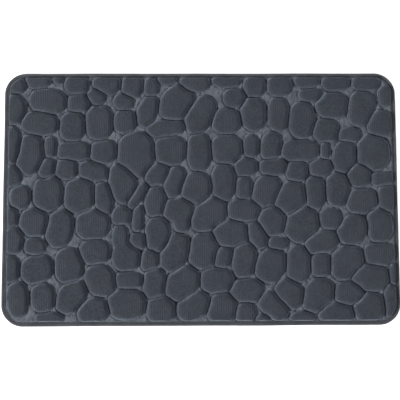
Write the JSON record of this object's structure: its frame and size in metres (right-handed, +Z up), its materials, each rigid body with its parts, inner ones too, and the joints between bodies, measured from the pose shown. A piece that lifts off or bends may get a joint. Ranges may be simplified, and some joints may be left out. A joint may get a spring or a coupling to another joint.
{
  "type": "bath mat",
  "caption": "Rectangular memory-foam bath mat with rounded corners, an embossed pebble-pattern plush top, a bound edge and a nubbed rubber grip underside.",
  "frame": {"origin": "centre of the footprint, on the plane of the nub tips that the mat lies on", "axes": "+X along the long side, +Y across the mat towards the far long edge, +Z up through the pile"},
  "size_m": [0.7, 0.45, 0.017],
  "materials": {
    "plush_pile": "short slate-grey polyester pile with a soft sheen",
    "memory_foam": "open-cell polyurethane foam, matt",
    "backing_cloth": "plain-weave polyester cloth, matt",
    "grip_rubber": "matt moulded rubber",
    "binding_tape": "woven slate-grey tape",
    "sewing_thread": "twisted polyester sewing thread"
  },
  "bodies": {
    "root": {"pile_cover": "plush_pile", "foam_core": "memory_foam", "backing_cloth": "backing_cloth", "grip_sheet": "grip_rubber", "edge_binding": "binding_tape", "binding_needle_thread": "sewing_thread", "binding_bobbin_thread": "sewing_thread"}
  },
  "joints": []
}
